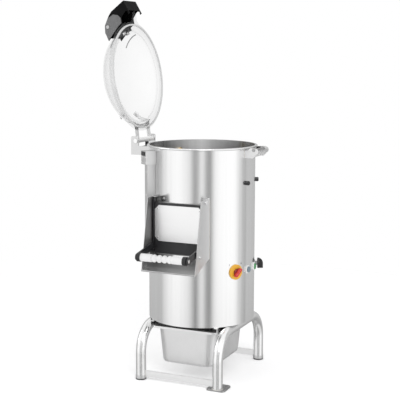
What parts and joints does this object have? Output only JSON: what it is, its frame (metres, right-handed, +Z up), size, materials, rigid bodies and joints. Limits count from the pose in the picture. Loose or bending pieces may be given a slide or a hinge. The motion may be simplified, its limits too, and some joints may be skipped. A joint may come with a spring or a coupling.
{
  "type": "potato peeler",
  "caption": "Upright electric drum peeler with a clear hinged lid and latch, outlet chute with a lift door, tube legs and a slide-out peel tray.",
  "frame": {"origin": "on the floor, on the barrel's upright axis, midway between the four legs", "axes": "+Z up; -Y towards the outlet chute and the pull-out tray; +X towards the lid latch and the controls; -X towards the lid hinge"},
  "size_m": [0.6313, 0.5819, 1.4043],
  "materials": {
    "barrel_steel": "brushed upright, satin",
    "sheet_steel": "brushed sheet, satin",
    "tube_steel": "polished stainless tube",
    "pan_steel": "deep drawn sheet, dull satin",
    "lining": "silicon carbide grit in resin",
    "disc_grit": "cast disc with a silicon carbide coat",
    "cast": "as cast, painted",
    "motor_paint": "blue-grey paint",
    "alloy": "turned",
    "belt": "dull",
    "black_rubber": "dull",
    "grey_plastic": "fine grain",
    "black_plastic": "satin",
    "cap_grey": "satin",
    "white_plastic": "satin",
    "clear": "clear, polished",
    "seal_white": "translucent silicone",
    "brass": "turned",
    "yellow": "satin",
    "red": "satin",
    "green": "satin",
    "blue_grey": "satin",
    "arm_metal": "dark satin",
    "door_white": "bright, lit face on"
  },
  "bodies": {
    "machine": {"barrel_shell": "barrel_steel", "abrasive_liner": "lining", "drum_floor": "sheet_steel", "base_plate": "sheet_steel", "bearing_housing": "cast", "motor_body": "motor_paint", "motor_mount": "sheet_steel", "drive_belt": "belt", "drain_pipe": "sheet_steel", "control_box": "grey_plastic", "cable_gland": "black_plastic", "water_nozzle": "brass", "left_leg_tube": "tube_steel", "right_leg_tube": "tube_steel", "cross_bars": "sheet_steel", "foot_plate": "sheet_steel", "rubber_feet": "black_rubber", "frame_bolts": "tube_steel", "tray_rails": "sheet_steel", "hinge_bracket": "sheet_steel", "hinge_pin": "tube_steel", "switch_box": "sheet_steel", "switch_plug": "black_plastic", "wire_duct": "sheet_steel", "latch_bracket": "sheet_steel", "hinge_stop": "black_rubber", "catch_bar": "tube_steel", "latch_buffer": "black_rubber", "chute_body": "sheet_steel", "outlet_collar": "sheet_steel", "door_hinge_pins": "tube_steel", "door_stop_pins": "tube_steel", "side_buffers": "black_rubber", "main_switch_plate": "yellow", "button_bezels": "white_plastic", "timer_flange": "grey_plastic"},
    "lid": {"lid_dome": "clear", "lid_seal": "seal_white", "lid_hinge_plate": "sheet_steel", "lid_screws": "tube_steel", "handle_mount": "black_plastic", "handle_pin": "tube_steel"},
    "latch_handle": {"latch_handle": "black_plastic", "handle_caps": "cap_grey"},
    "door": {"door_seal": "black_rubber", "door_panel": "door_white", "door_arms": "arm_metal", "door_grip": "white_plastic", "grip_ends": "black_plastic", "grip_rod": "tube_steel"},
    "tray": {"peel_tray": "pan_steel"},
    "disc": {"abrasive_disc": "disc_grit", "main_shaft": "tube_steel", "drive_pulley": "alloy"},
    "motor_rotor": {"motor_pulley": "alloy"},
    "main_switch": {"main_switch_knob": "red"},
    "stop": {"stop_button": "blue_grey"},
    "start": {"start_button": "green"},
    "timer": {"timer_knob": "black_plastic"}
  },
  "joints": [
    {"name": "lid_hinge", "type": "hinge", "parent": "machine", "child": "lid", "pos_m": [-0.243, 0, 0.878], "axis": [0, 1, 0], "range_deg": [0, 97.2]},
    {"name": "latch_turn", "type": "hinge", "parent": "lid", "child": "latch_handle", "pos_m": [-0.37057, 0, 1.30538], "axis": [0, -1, 0], "range_deg": [-7, 10]},
    {"name": "door_swing", "type": "hinge", "parent": "machine", "child": "door", "pos_m": [0, -0.203, 0.681], "axis": [-1, 0, 0], "range_deg": [0, 70]},
    {"name": "tray_slide", "type": "slide", "parent": "machine", "child": "tray", "axis": [0, -1, 0], "range_m": [0, 0.3]},
    {"name": "disc_spin", "type": "hinge", "parent": "machine", "child": "disc", "pos_m": [0, 0, 0.47], "axis": [0, 0, 1], "continuous": true},
    {"name": "motor_spin", "type": "hinge", "parent": "machine", "child": "motor_rotor", "pos_m": [0, 0.118, 0.26], "axis": [0, 0, 1], "continuous": true},
    {"name": "main_switch_turn", "type": "hinge", "parent": "machine", "child": "main_switch", "pos_m": [0.177, -0.09312, 0.415], "axis": [-0.885, 0.4656, 0], "range_deg": [0, 90]},
    {"name": "stop_press", "type": "slide", "parent": "machine", "child": "stop", "axis": [-0.9884, 0.1521, 0], "range_m": [0, 0.003], "stiffness_N_per_m": 600, "springref_m": -0.003},
    {"name": "start_press", "type": "slide", "parent": "machine", "child": "start", "axis": [-0.9884, -0.1521, 0], "range_m": [0, 0.003], "stiffness_N_per_m": 600, "springref_m": -0.003},
    {"name": "timer_turn", "type": "hinge", "parent": "machine", "child": "timer", "pos_m": [0.18052, 0.0861, 0.415], "axis": [-0.9026, -0.4305, 0], "range_deg": [0, 300]}
  ],
  "couplings": [
    {"joint": "motor_spin", "follows": "disc_spin", "ratio": 2.95}
  ]
}
